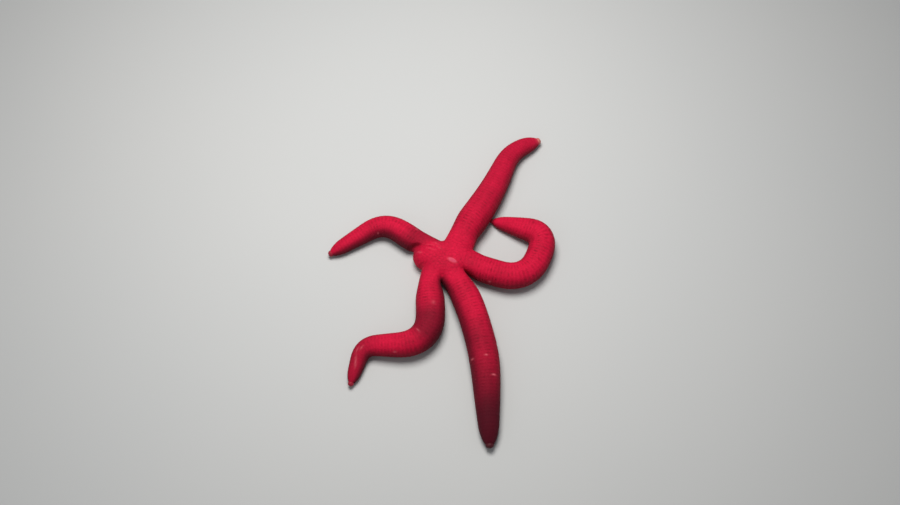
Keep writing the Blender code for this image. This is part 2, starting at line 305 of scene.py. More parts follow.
def close_chain(builder, chain, apex, part):
    """Fills a closed chain with a fan to one point."""
    face = builder.faces.new(chain)
    face[builder.faces.layers.int["part"]] = part
    unwrap = builder.loops.layers.uv["OFBake"]
    for loop in face.loops:
        for other in loop.vert.link_loops:
            if other.face is not face:
                loop[unwrap].uv = other[unwrap].uv
    centre = bmesh.ops.poke(builder, faces=[face])["verts"][0]
    centre.co = apex


def add_arm_cage(builder, arm, part):
    arm.rings = round((arm.flesh_end - arm.root_at) / RING_PITCH)
    arm.pitch = (arm.flesh_end - arm.root_at) / arm.rings
    chain = start_chain(builder, arm.ring(arm.root_at), True)
    places = range(RING_SIZE + 1)
    for step in range(1, arm.rings + 1):
        near = [strip_place(part, (step - 1) * arm.pitch, place) for place in places]
        far = [strip_place(part, step * arm.pitch, place) for place in places]
        points = arm.ring(arm.root_at + step * arm.pitch)
        chain = grow(builder, chain, points, True, part, near, far)
    middle = sum((vert.co for vert in chain), Vector()) / RING_SIZE
    inner = [vert.co.lerp(middle, 0.5) for vert in chain]
    beyond = [place + Vector((arm.pitch / UNWRAP_SPAN, 0.0)) for place in far]
    chain = grow(builder, chain, inner, True, part, far, beyond)
    close_chain(builder, chain, middle, part)


def shoulder_rows():
    """Rows of points round the swollen shoulder, notch to notch, from low to high."""
    rows = []
    ends = zip(NOTCH_SPOTS["before_shoulder"], NOTCH_SPOTS["after_shoulder"])
    for row, ((start, end), rise) in enumerate(zip(ends, SHOULDER_RISES)):
        points = [NOTCHES["before_shoulder"][row]]
        for i in range(1, SHOULDER_SPANS):
            share = i / SHOULDER_SPANS
            swell = sin(pi * share)
            angle, radius, height = (a + (b - a) * share for a, b in zip(start, end))
            points.append(around_disc(angle, radius + SHOULDER_BULGE * swell, height + rise * swell))
        rows.append(points + [NOTCHES["after_shoulder"][row]])
    return rows


def add_cap_cage(builder, loop, falls, shares, level, apex, part, patch):
    """The disc's top or bottom: rings in to its centre."""
    def patch_place(point):
        return (patch + point.to_2d() - DISC_CENTRE) / UNWRAP_SPAN

    chain = start_chain(builder, loop, True)
    near = [patch_place(point) for point in loop + loop[:1]]
    for share in shares:
        points = [cap_point(point, share, fall, level) for point, fall in zip(loop, falls)]
        far = [patch_place(point) for point in points + points[:1]]
        chain = grow(builder, chain, points, True, part, near, far)
        near = far
    close_chain(builder, chain, (*DISC_CENTRE, apex), part)


def build_cage():
    """The coarse cage of the whole skin: arms, shoulder, and the disc's top and bottom."""
    builder = bmesh.new()
    builder.faces.layers.int.new("part")
    builder.loops.layers.uv.new("OFBake")
    top_loop = []
    top_falls = []
    bottom_loop = []
    bottom_falls = []
    for part, arm in enumerate(ARMS):
        add_arm_cage(builder, arm, part)
        if arm.name == "arm_d":
            rows = shoulder_rows()
            chain = start_chain(builder, rows[0], False)
            for level in (1, 2):
                near, far = ([(WALL_PATCH + Vector((i, row)) * WALL_STEP) / UNWRAP_SPAN
                              for i in range(SHOULDER_SPANS + 1)] for row in (level - 1, level))
                chain = grow(builder, chain, rows[level], False, WALL_PART, near, far)
            bottom_loop += rows[0][:-1]
            top_loop += rows[2][:-1]
            top_falls += [CREASE_FALL] + [SHOULDER_FALL] * (SHOULDER_SPANS - 1)
            bottom_falls += [BOTTOM_FALL] * SHOULDER_SPANS
        root = arm.ring(arm.root_at)
        top_loop += [root[i] for i in TOP_SPAN[:-1]]
        bottom_loop += [root[i] for i in BOTTOM_SPAN[:-1]]
        fall = SHOULDER_FALL if arm.name == "arm_e" else TOP_FALL
        top_falls += [NOTCH_FALL] * 2 + [fall] * (len(TOP_SPAN) - 4) + [NOTCH_FALL]
        bottom_falls += [BOTTOM_FALL if i else GROOVE_FALL for i in BOTTOM_SPAN[:-1]]
    add_cap_cage(builder, top_loop, top_falls, TOP_SHARES, DISC_HEIGHT, DISC_HEIGHT,
                 TOP_PART, TOP_PATCH)
    add_cap_cage(builder, bottom_loop, bottom_falls, BOTTOM_SHARES, 0.0, MOUTH_HEIGHT,
                 BOTTOM_PART, BOTTOM_PATCH)
    bmesh.ops.remove_doubles(builder, verts=builder.verts, dist=MERGE_DISTANCE)
    bmesh.ops.recalc_face_normals(builder, faces=builder.faces)
    for vert in builder.verts:
        vert.co.z = max(vert.co.z, SOLE_HEIGHT)
    return builder


def corners_of(face):
    """A face's corners, from its first vertex on."""
    corners = list(face.loops)
    first = min(range(len(corners)), key=lambda place: corners[place].vert.index)
    return corners[first:] + corners[:first]


def in_order(builder):
    """The same faces in a fixed order. Operators leave edges and corners in an order that
    changes from run to run, and the scatter of plates and granules would change with it."""
    fresh = bmesh.new()
    part = builder.faces.layers.int.get("part")
    unwrap = builder.loops.layers.uv.get("OFBake")
    if part:
        fresh_part = fresh.faces.layers.int.new("part")
        fresh_unwrap = fresh.loops.layers.uv.new("OFBake")
    builder.verts.index_update()
    verts = [fresh.verts.new(vert.co) for vert in builder.verts]
    for corners in sorted(map(corners_of, builder.faces),
                          key=lambda corners: [corner.vert.index for corner in corners]):
        face = fresh.faces.new([verts[corner.vert.index] for corner in corners])
        if part:
            face[fresh_part] = corners[0].face[part]
            for corner, old in zip(face.loops, corners):
                corner[fresh_unwrap].uv = old[unwrap].uv
    builder.free()
    fresh.verts.index_update()
    return fresh


def mesh_of(name, builder):
    """A smooth mesh from a builder, which ends with it."""
    builder = in_order(builder)
    mesh = bpy.data.meshes.new(name)
    builder.to_mesh(mesh)
    builder.free()
    mesh.shade_smooth()
    return mesh


def finished_mesh(source, name):
    """The mesh of an object with its modifiers applied."""
    bpy.context.view_layer.update()
    graph = bpy.context.evaluated_depsgraph_get()
    mesh = bpy.data.meshes.new_from_object(source.evaluated_get(graph), depsgraph=graph,
                                           preserve_all_data_layers=True)
    mesh.name = name
    return mesh


def add_piece(name, mesh):
    piece = bpy.data.objects.new(name, mesh)
    bpy.context.scene.collection.objects.link(piece)
    return piece


CAGE_ROUNDS = 2
FINENESS = 2 ** CAGE_ROUNDS  # steps of the finished skin in each step of its cage

cage = add_piece("skin_cage", mesh_of("skin_cage", build_cage()))
rounding = cage.modifiers.new("rounding", "SUBSURF")
rounding.levels = CAGE_ROUNDS
rounding.render_levels = CAGE_ROUNDS
rounding.uv_smooth = "NONE"
skin = add_piece("skin", finished_mesh(cage, "skin"))
bpy.data.objects.remove(cage)

SIEVE_PLACE = Vector((0.0041, -0.0067))
SIEVE_LENGTH = 0.0068
SIEVE_WIDTH = 0.0029
SIEVE_TURN = radians(-27)


def read(collection, field, width, kind=np.float64):
    """One field of a mesh's elements, as an array."""
    values = np.empty(len(collection) * width, kind)
    collection.foreach_get(field, values)
    return values.reshape(-1, width) if width > 1 else values


def write(mesh, name, values):
    """A number for each vertex, as an attribute of the mesh."""
    attribute = mesh.attributes.new(name, "FLOAT", "POINT")
    attribute.data.foreach_set("value", np.asarray(values, np.float32))


def oval_distance(places, middle, turn, half_length, half_width):
    """How far from the middle of a turned oval on the disc places lie: 1 at its rim."""
    out = places[:, :2] - np.array(DISC_CENTRE + Vector(middle))
    along = (out[:, 0] * cos(turn) + out[:, 1] * sin(turn)) / half_length
    across = (out[:, 1] * cos(turn) - out[:, 0] * sin(turn)) / half_width
    return np.hypot(along, across)


def in_sieve(places):
    """Distance from the middle of the sieve plate, as a share of its half size."""
    return oval_distance(places, SIEVE_PLACE, SIEVE_TURN, 0.5 * SIEVE_LENGTH, 0.5 * SIEVE_WIDTH)


class SkinData(Placed):
    """The skin's vertices: places, normals, and where each lies on its arm or the disc."""

    def __init__(self, mesh):
        self.places = read(mesh.vertices, "co", 3)
        self.normals = read(mesh.vertex_normals, "vector", 3)
        corner_vert = read(mesh.loops, "vertex_index", 1, np.int32)
        corner_unwrap = read(mesh.uv_layers["OFBake"].uv, "vector", 2)
        counts = read(mesh.polygons, "loop_total", 1, np.int32)
        corner_part = np.repeat(read(mesh.attributes["part"].data, "value", 1, np.int32), counts)
        order = np.argsort(-corner_part, kind="stable")
        part = np.zeros(len(self.places), np.int32)
        part[corner_vert[order]] = corner_part[order]
        unwrap = np.zeros((len(self.places), 2))
        unwrap[corner_vert[order]] = corner_unwrap[order]
        self.place(part, unwrap)
        self.lattices = [self.lattice(part) for part in range(len(ARMS))]

    def lattice(self, part):
        """Numbers of the vertices of an arm's skin, by ring and place in the ring."""
        arm = ARMS[part]
        ring = np.rint(self.along / arm.pitch * FINENESS).astype(int)
        place = np.rint(self.column * FINENESS).astype(int) % (RING_SIZE * FINENESS)
        last = arm.rings * FINENESS
        mine = np.where((self.part == part) & (ring >= 0) & (ring <= last))[0]
        table = np.zeros((last + 1, RING_SIZE * FINENESS), int)
        table[ring[mine], place[mine]] = mine
        return table

    def surface(self, part, along, column):
        """Points of an arm's skin, by distance past its root and place in the ring."""
        table = self.lattices[part]
        ring = np.clip(along / ARMS[part].pitch * FINENESS, 0.0, len(table) - 1.001)
        place = np.mod(column * FINENESS, RING_SIZE * FINENESS - 1e-6)
        i = ring.astype(int)
        j = place.astype(int)
        k = (j + 1) % (RING_SIZE * FINENESS)
        a = (ring - i)[:, None]
        b = (place - j)[:, None]
        corners = ((table[i, j], (1 - a) * (1 - b)), (table[i + 1, j], a * (1 - b)),
                   (table[i, k], (1 - a) * b), (table[i + 1, k], a * b))
        return sum(self.places[corner] * share for corner, share in corners)


# Relief. On the arms it follows the rings and rows of plates, on the disc their scatter.
RING_DEPTH = 0.00008  # between the rings of plates
PIT_DEPTH = 0.00018  # of the deepest pore fields
PIT_EVENNESS = 0.35  # depth of the shallowest, as a share of that
PIT_ROWS = 4.0  # on each side of the crest
PLATE_ROW = 1.375  # between the rows of plates, in places of a ring
SMOOTH_GROOVE = 1.2  # places of a ring at each side of the groove's middle
COAT_DEPTH = 0.0001  # more than the skin draws in as it is rounded
DISC_PLATE = 0.0024  # between plates of the disc
DISC_SEAM = 0.42  # between them, as a share of that
DISC_RELIEF = 0.62  # depth of their seams, as a share of the deepest pore fields
DISC_END = 0.001  # past an arm's root, its plates are strewn like the disc's up to here
DISC_SETTLE = 0.012  # and from here on they lie in rings
UNDERSIDE_SMOOTHING = 0.5  # share of the disc's relief that is lost underneath
STRENGTHS = 997  # a prime number, so that pore fields rarely share one
# Where a smooth step starts and over how much it runs: the downward share of the normal,
# and half sizes of the sieve plate.
UNDERSIDE = (0.1, 0.5)
SIEVE_SKIRT = (0.9, 0.5)


def disc_plates(data, rough, random):
    """Places of the plates of the disc, no nearer to each other than their size."""
    random.shuffle(rough)
    kept = []
    for place in data.places[rough]:
        if all(np.sum((place - other) ** 2) > DISC_PLATE ** 2 for other in kept):
            kept.append(place)
    return np.array(kept)


def skin_relief(data):
    """Depth of the relief at each vertex, from 0 on the plates to 1 in the pore fields."""
    pitches = np.array([arm.pitch for arm in ARMS] + [1.0, 1.0, 1.0])
    rings = data.along / pitches[data.part]
    rows = np.abs(data.column - CREST) / PLATE_ROW
    between_rings = np.sin(pi * rings) ** 2
    between_rows = np.where(rows < PIT_ROWS, np.sin(pi * rows) ** 2, 0.0)
    # A number for each pore field, which picks its depth from a long list.
    field = (np.floor(rings) * 31 + np.floor(rows) * 7 + (data.column > CREST) * 3 + data.part * 11)
    strengths = np.random.default_rng(4).uniform(PIT_EVENNESS, 1.0, STRENGTHS)
    between_rows *= strengths[field.astype(int) % STRENGTHS]
    whole = RING_DEPTH + PIT_DEPTH
    net = between_rings * (RING_DEPTH + PIT_DEPTH * between_rows) / whole
    rough = np.where(~data.on_arm | (data.along < DISC_SETTLE))[0]
    plates = disc_plates(data, rough.copy(), np.random.default_rng(3))
    gaps = np.zeros(len(data.places))
    for chunk in np.array_split(rough, 20):
        apart = np.sort(np.linalg.norm(data.places[chunk, None] - plates[None], axis=2), axis=1)
        gaps[chunk] = (apart[:, 1] - apart[:, 0]) / DISC_PLATE
    smoothed = UNDERSIDE_SMOOTHING * eased(-data.normals[:, 2], *UNDERSIDE)
    scattered = (1.0 - eased(gaps, 0.0, DISC_SEAM)) * (1.0 - smoothed)
    settled = eased(data.along, DISC_END, DISC_SETTLE - DISC_END)
    settled = np.where(data.on_arm, settled, 0.0)
    relief = net * settled + DISC_RELIEF * scattered * (1.0 - settled)
    relief *= eased(in_sieve(data.places), *SIEVE_SKIRT)
    for part, arm in enumerate(ARMS):
        mine = data.part == part
        along = np.linspace(0.0, arm.length - arm.root_at, 80)
        width = [arm.width(arm.root_at + at) * arm.shrink(arm.root_at + at) for at in along]
        relief[mine] *= np.interp(data.along[mine], along, width) / arm.swell_width
    return np.where(data.on_arm & (data.aside < SMOOTH_GROOVE), 0.0, relief)


skin_data = SkinData(skin.data)
relief = skin_relief(skin_data)
sunk = COAT_DEPTH + relief * (RING_DEPTH + PIT_DEPTH)
skin_data.places -= skin_data.normals * sunk[:, None]
skin.data.vertices.foreach_set("co", skin_data.places.ravel())
skin.data.shade_smooth()
skin.data.update()
skin_data.normals = read(skin.data.vertex_normals, "vector", 3)

# Pale scuffs where the coat is rubbed or bleached: arm, distance along, place in the ring,
# half length along, half width across, strength.
SCUFFS = [
    ("arm_d", 0.1203, 8.7, 0.0018, 0.0005, 0.40),
    ("arm_d", 0.1230, 8.0, 0.0018, 0.0005, 0.45),
    ("arm_d", 0.1285, 8.4, 0.0024, 0.0004, 0.40),
    ("arm_d", 0.1315, 8.7, 0.0024, 0.0004, 0.65),
    ("arm_d", 0.1342, 9.1, 0.0022, 0.0004, 0.40),
    ("arm_d", 0.0730, 8.3, 0.0006, 0.0016, 0.50),
    ("arm_d", 0.0940, 11.2, 0.0012, 0.0006, 0.65),
    ("arm_d", 0.0466, 9.5, 0.0016, 0.0012, 0.28),
    ("arm_c", 0.0915, 6.7, 0.0006, 0.0015, 0.80),
    ("arm_c", 0.0906, 9.2, 0.0005, 0.0008, 1.00),
    ("arm_c", 0.1056, 10.2, 0.0006, 0.0014, 1.00),
    ("arm_b", 0.0385, 6.0, 0.0010, 0.0008, 0.80),
    ("arm_e", 0.0661, 11.5, 0.0008, 0.0008, 0.50),
    ("arm_e", 0.0330, 7.2, 0.0014, 0.0008, 0.40),
    # Last, a paler patch at arm A's end, round its plate.
    ("arm_a", 0.1390, 8.5, 0.0024, 0.0060, 0.60),
]
# The same on the disc: place from its centre, direction, half length, half width, strength.
DISC_SCUFFS = [
    (-0.0216, 0.0020, -30, 0.0017, 0.0006, 0.45),
    (-0.0136, 0.0078, -18, 0.0042, 0.0005, 0.22),
    (-0.0085, 0.0085, -38, 0.0036, 0.0005, 0.20),
    (-0.0125, 0.0035, -20, 0.0036, 0.0005, 0.18),
    (-0.0058, 0.0040, -32, 0.0026, 0.0005, 0.18),
]
GIRTH_OVER_WIDTH = 3.2  # of an arm
SIEVE_RIM = 1.25  # reach of the paleness round the sieve plate, in its half sizes
SIEVE_RIM_PALENESS = 0.35


def scuffed(data):
    """Share of paleness at each vertex."""
    pale = np.zeros(len(data.places))
    arms = {arm.name: (part, arm) for part, arm in enumerate(ARMS)}
    for name, along, column, half_length, half_width, strength in SCUFFS:
        part, arm = arms[name]
        off = (data.along + arm.root_at - along) / half_length
        place_width = GIRTH_OVER_WIDTH * arm.width(along) / RING_SIZE
        aside = (data.column - column) * place_width / half_width
        mark = strength * np.exp(-off ** 2 - aside ** 2)
        pale = np.maximum(pale, np.where(data.part == part, mark, 0.0))
    on_disc = SIEVE_RIM_PALENESS * np.exp(-(in_sieve(data.places) / SIEVE_RIM) ** 6)
    for x, y, turn, half_length, half_width, strength in DISC_SCUFFS:
        off = oval_distance(data.places, (x, y), radians(turn), half_length, half_width)
        on_disc = np.maximum(on_disc, strength * np.exp(-off ** 2))
    return np.maximum(pale, np.where(data.part == TOP_PART, on_disc, 0.0))


# Where the crimson is darker along an arm, mostly painted shade: the end of arm C, and
# the roots and flanks of arms C, D and E. Arm, from, full at, ends at, strength, and its
# side: 0 for both, -1 for the right side and 1 for the left side only.
PAINTED_ARM_SHADE = [
    ("arm_c", 0.048, 0.078, 0.200, 0.36, 0),
    ("arm_c", 0.088, 0.136, 0.200, 0.92, 0),
    ("arm_c", 0.018, 0.036, 0.112, 0.62, -1),
    ("arm_d", 0.038, 0.058, 0.069, 0.62, 0),
    ("arm_d", 0.100, 0.125, 0.200, 0.36, 0),
    ("arm_d", 0.014, 0.030, 0.066, 0.42, 1),
    ("arm_d", 0.112, 0.124, 0.200, 0.62, 1),
    ("arm_a", 0.020, 0.060, 0.200, 0.18, 0),
    ("arm_e", 0.014, 0.024, 0.030, 0.40, 0),
    ("arm_e", 0.016, 0.034, 0.200, 0.64, 1),
]
PAINTED_ARM_SHADE_END_RUN = 0.014
# Painted shade in the folds where neighbours meet: place, reach, strength, and the share that the
# disc takes.
PAINTED_FOLD_SHADE = [
    (0.0002, -0.0074, 0.0114, 0.88, 0.0),
    (-0.0250, 0.0240, 0.0055, 0.60, 1.0),
    (-0.0008, 0.0330, 0.0045, 0.65, 1.0),
    (-0.0240, 0.0365, 0.0085, 0.50, 1.0),
]
# Painted shade on the arms' flanks: darker away from the crest, lifted again towards the sole.
FLANK_SHADE = 0.60
FLANK_RUN = 0.012  # past an arm's root, over which its flanks deepen
SOLE_SHADE_LIFT = 0.65
# Smooth steps on the way from the crest, 0, to the groove, 1: their start and their run.
FLANK_EDGE = (0.09, 0.38)
FOLD_SHADE_EDGE = (0.10, 0.25)
ONE_SIDE_EDGE = (0.03, 0.28)
SOLE_EDGE = (0.7, 0.2)


def painted_shade_share(data):
    """Share of painted shade at each vertex: on the flanks, in the folds, and along stretches of
    arms.
    """
    offside = (data.column - CREST) / CREST
    side = np.abs(offside)
    sole = SOLE_SHADE_LIFT * eased(side, *SOLE_EDGE)
    flank = FLANK_SHADE * eased(side, *FLANK_EDGE) * (1.0 - sole)
    deep = flank * np.where(data.on_arm, eased(data.along, 0.0, FLANK_RUN), 0.0)
    for x, y, reach, strength, on_disc in PAINTED_FOLD_SHADE:
        gap = np.linalg.norm(data.places[:, :2] - np.array([x, y]), axis=1) / reach
        taken = np.where(data.on_arm, eased(side, *FOLD_SHADE_EDGE), on_disc)
        deep = np.maximum(deep, strength * np.exp(-gap ** 2) * taken)
    for part, arm in enumerate(ARMS):
        at = data.along + arm.root_at
        for name, start, full, stop, strength, flank_side in PAINTED_ARM_SHADE:
            if name != arm.name:
                continue
            share = eased(at, start, full - start) * (1.0 - eased(at, stop, PAINTED_ARM_SHADE_END_RUN))
            if flank_side:
                share *= eased(flank_side * offside, *ONE_SIDE_EDGE)
            deep = np.where(data.part == part, 1.0 - (1.0 - deep) * (1.0 - strength * share), deep)
    return deep


write(skin.data, "tone", 1.0 - relief)
write(skin.data, "pale", scuffed(skin_data))
# The painted shade, which darkens the skin's colour on flanks, in folds and along stretches of arms.
write(skin.data, "deep", painted_shade_share(skin_data))


class Value:
    """A shader number that takes part in sums."""

    def __init__(self, finish, socket):
        self.finish = finish
        self.socket = socket

    def sum_with(self, operation, first, second):
        return self.finish.node("ShaderNodeMath", {"operation": operation}, {0: first, 1: second})

    def __add__(self, other):
        return self.sum_with("ADD", self, other)

    def __sub__(self, other):
        return self.sum_with("SUBTRACT", self, other)

    def __mul__(self, other):
        return self.sum_with("MULTIPLY", self, other)

    __radd__ = __add__
    __rmul__ = __mul__


class Finish:
    """A material on object coordinates: constants on its shader, and nodes from one method."""

    def __init__(self, name, **constants):
        self.material = bpy.data.materials.new(name)
        self.material.use_nodes = True
        self.tree = self.material.node_tree
        self.shader = self.tree.nodes["Principled BSDF"]
        for key, value in constants.items():
            socket = key.replace("_", " ").title().replace("Ior", "IOR")
            self.shader.inputs[socket].default_value = value
        self.places = self.node("ShaderNodeTexCoord", output=3)

    def node(self, kind, settings=None, sockets=None, output=0):
        """Adds a node: its settings first, then the values or links of its sockets."""
        node = self.tree.nodes.new(kind)
        for key, value in (settings or {}).items():
            if key == "stops":
                for place, colour in value[1:-1]:
                    node.color_ramp.elements.new(place)
                for stop, (place, colour) in zip(node.color_ramp.elements, value):
                    stop.color = (*colour, 1.0)
            else:
                setattr(node, key, value)
        for key, value in (sockets or {}).items():
            if isinstance(key, int):
                socket = node.inputs[key]
            else:
                socket = next(entry for entry in node.inputs if entry.identifier == key)
            if isinstance(value, Value):
                self.tree.links.new(value.socket, socket)
            else:
                socket.default_value = value
        return Value(self, node.outputs[output])

    def mix(self, share, first, second):
        sockets = {"Factor_Float": share, "A_Color": first, "B_Color": second}
        return self.node("ShaderNodeMix", {"data_type": "RGBA"}, sockets, output=2)

    def noise(self, scale, detail=2.0):
        sockets = {"Vector": self.places, "Scale": scale, "Detail": detail}
        return self.node("ShaderNodeTexNoise", {}, sockets)

    def attribute(self, name):
        return self.node("ShaderNodeAttribute", {"attribute_name": name}, output=2)

    def feed(self, key, value):
        self.tree.links.new(value.socket, self.shader.inputs[key])

    def mottle(self, scale, dark, light, detail=2.0):
        """Feeds the colour with a noise between two colours, and gives that noise."""
        mottle = self.noise(scale, detail)
        self.feed("Base Color", self.mix(mottle, (*dark, 1.0), (*light, 1.0)))
        return mottle

    def grain(self, scale, strength, distance):
        """Feeds the normal with a fine bump."""
        sockets = {"Strength": strength, "Distance": distance, "Height": self.noise(scale)}
        self.feed("Normal", self.node("ShaderNodeBump", {}, sockets))


def velvet_finish():
    """Deep crimson velvet: darker in the pore fields, near black where shade is painted, greyish
    rose where it is scuffed.
    """
    finish = Finish("crimson_velvet", roughness=0.72, specular_ior_level=0.12,
                    sheen_weight=0.06, sheen_roughness=0.4)
    finish.shader.inputs["Sheen Tint"].default_value = (1.0, 0.35, 0.45, 1.0)
    tone = finish.attribute("tone")
    blotches = finish.noise(60.0, 4.0)
    flecks = finish.noise(700.0)
    # The tone darkens the pore fields and the gaps between rings of plates: partly their own darker
    # colour, partly painted shade in these hollows.
    depth = tone * 0.32 + blotches * 0.7 + flecks * 0.55 - 0.335
    base = finish.node("ShaderNodeValToRGB", {"stops": [
        (0.0, (0.240, 0.0022, 0.0180)),
        (0.5, (0.560, 0.0052, 0.0390)),
        (1.0, (0.820, 0.0110, 0.0640))]}, {"Fac": depth})
    # Painted shade: the colour goes towards near black where the skin carries painted shade.
    deep = finish.mix(finish.attribute("deep"), base, (0.064, 0.0036, 0.0108, 1.0))
    worn = finish.attribute("pale") * (0.55 + 0.9 * flecks)
    finish.feed("Base Color", finish.mix(worn, deep, (0.74, 0.15, 0.19, 1.0)))
    finish.feed("Roughness", 0.62 + 0.2 * blotches)
    finish.grain(2200.0, 0.25, 0.0002)
    return finish.material


velvet = velvet_finish()
skin.data.materials.clear()
skin.data.materials.append(velvet)
flesh = [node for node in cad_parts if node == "disc" or node.split("_")[-1] in
         ("base", "middle", "end")]
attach(skin, "root")
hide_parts(*flesh)


# ---------------------------------------------------------------------------
# Granules. The skin is covered all over with fine round granules of lime, set
# close together in the velvet; they are finest in the pore fields and are left
# out of the grooves under the arms. They grow in the skin itself.

GRANULE_GAP = 0.00055
GRANULE_RADIUS = 0.00040
GRANULE_RISE = 0.00017
FINEST_GRANULE = 0.75  # as a share of the largest
BARE_GROOVE = 0.9  # places of a ring at each side of the groove's middle
BARE_MOUTH = 0.0016  # level of the disc's underside where its mouth begins
BARE_SIEVE = 1.05  # as a share of the sieve plate's half size
NEAR_SHARE = 0.45  # of an arm's length, in the first of its two pieces
PATCH_HALF = 0.0015  # half of a copy's patch in its piece's unwrap
PATCH_EDGE = 0.01


def scatter_nodes(gap, seed):
    """Geometry nodes that spread points over a mesh and keep its normals."""
    tree = bpy.data.node_groups.new("scatter", "GeometryNodeTree")
    for way in ("INPUT", "OUTPUT"):
        tree.interface.new_socket("Geometry", in_out=way, socket_type="NodeSocketGeometry")
    entry = tree.nodes.new("NodeGroupInput")
    spread = tree.nodes.new("GeometryNodeDistributePointsOnFaces")
    spread.distribute_method = "POISSON"
    spread.inputs["Distance Min"].default_value = gap
    spread.inputs["Density Max"].default_value = 4.0 / gap ** 2
    spread.inputs["Seed"].default_value = seed
    lean = tree.nodes.new("GeometryNodeStoreNamedAttribute")
    lean.data_type = "FLOAT_VECTOR"
    lean.inputs["Name"].default_value = "lean"
    points = tree.nodes.new("GeometryNodePointsToVertices")
    leave = tree.nodes.new("NodeGroupOutput")
    for start, end in ((entry.outputs[0], spread.inputs["Mesh"]),
                       (spread.outputs["Points"], lean.inputs["Geometry"]),
                       (spread.outputs["Normal"], lean.inputs["Value"]),
                       (lean.outputs[0], points.inputs[0]),
                       (points.outputs[0], leave.inputs[0])):
        tree.links.new(start, end)
    return tree


class Spread(Placed):
    """Points spread evenly over the skin, with where each lies on its arm or the disc."""

    def __init__(self, gap, seed):
        tree = scatter_nodes(gap, seed)
        helper = add_piece("scatter", skin.data.copy())
        helper.modifiers.new("scatter", "NODES").node_group = tree
        mesh = finished_mesh(helper, "scatter")
        self.places = read(mesh.vertices, "co", 3)
        self.lean = read(mesh.attributes["lean"].data, "vector", 3)
        self.unwrap = read(mesh.attributes["OFBake"].data, "vector", 2)
        self.place(read(mesh.attributes["part"].data, "value", 1, np.int32), self.unwrap)
        self.tone, self.pale, self.deep = (read(mesh.attributes[name].data, "value", 1)
                                           for name in ("tone", "pale", "deep"))
        bpy.data.objects.remove(helper)
        bpy.data.meshes.remove(mesh)
        bpy.data.node_groups.remove(tree)

    def outside(self):
        """True where a point is neither in a groove, nor in the mouth, nor on the sieve plate."""
        groove = self.on_arm & (self.aside < BARE_GROOVE)
        mouth = (self.part == BOTTOM_PART) & (self.places[:, 2] > BARE_MOUTH)
        sieve = (self.part == TOP_PART) & (in_sieve(self.places) < BARE_SIEVE)
        return ~(groove | mouth | sieve)

    def stretches(self):
        """Two lengths of each arm, and the disc: a name and the points of each."""
        for part, arm in enumerate(ARMS):
            middle = NEAR_SHARE * (arm.flesh_end - arm.root_at)
            yield f"{arm.name}_near", (self.part == part) & (self.along < middle)
            yield f"{arm.name}_far", (self.part == part) & (self.along >= middle)
        yield "disc", ~self.on_arm


def pattern_of(builder):
    """A small closed shape as arrays of points and triangles; z = 0 lies in the skin."""
    bmesh.ops.recalc_face_normals(builder, faces=builder.faces)
    builder = in_order(builder)
    bmesh.ops.triangulate(builder, faces=builder.faces)
    builder = in_order(builder)
    points = np.array([vert.co[:] for vert in builder.verts])
    triangles = np.array([[vert.index for vert in face.verts] for face in builder.faces])
    builder.free()
    return points, triangles


def peg_pattern(sides, foot, top, depth, middle, dome=0.0):
    """A round peg by its radii, its depth and the level of its middle, with a domed top."""
    builder = bmesh.new()
    bmesh.ops.create_cone(builder, cap_ends=True, segments=sides, radius1=foot, radius2=top,
                          depth=depth)
    bmesh.ops.translate(builder, verts=builder.verts, vec=(0.0, 0.0, middle))
    if dome:
        lid = [face for face in builder.faces
               if face.calc_center_median().z > middle + 0.4 * depth]
        bmesh.ops.poke(builder, faces=lid)["verts"][0].co.z += dome
    return pattern_of(builder)


def add_copies(name, pattern, material, places, ups, fronts, sizes, unwrap, **numbers):
    """One mesh of many copies of a pattern, its z turned to ups and its x towards fronts."""
    points, triangles = pattern
    count = len(places)
    ups = ups / np.linalg.norm(ups, axis=1)[:, None]
    second = np.cross(ups, fronts)
    second /= np.linalg.norm(second, axis=1)[:, None]
    first = np.cross(second, ups)
    scaled = points[None, :, :] * sizes[:, None, :]
    made = (places[:, None, :] + scaled[:, :, :1] * first[:, None, :]
            + scaled[:, :, 1:2] * second[:, None, :] + scaled[:, :, 2:] * ups[:, None, :])
    corners = (triangles[None, :, :] + (np.arange(count) * len(points))[:, None, None]).ravel()
    mesh = bpy.data.meshes.new(name)
    mesh.vertices.add(count * len(points))
    mesh.vertices.foreach_set("co", made.ravel())
    mesh.loops.add(len(corners))
    mesh.loops.foreach_set("vertex_index", corners.astype(np.int32))
    mesh.polygons.add(len(corners) // 3)
    mesh.polygons.foreach_set("loop_start", np.arange(0, len(corners), 3, dtype=np.int32))
    mesh.update(calc_edges=True)
    mesh.shade_smooth()
    local = points[:, :2] / np.abs(points[:, :2]).max() * PATCH_HALF
    low = unwrap.min(axis=0)
    roots = PATCH_EDGE + (1.0 - 2.0 * PATCH_EDGE) * (unwrap - low) / (unwrap.max(axis=0) - low)
    patches = (roots[:, None, :] + local[None, :, :]).reshape(-1, 2)[corners]
    mesh.uv_layers.new(name="OFBake").uv.foreach_set("vector", patches.astype(np.float32).ravel())
    for key, values in numbers.items():
        write(mesh, key, np.repeat(values, len(points)))
    mesh.materials.append(material)
    piece = add_piece(name, mesh)
    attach(piece, "root")
    return piece


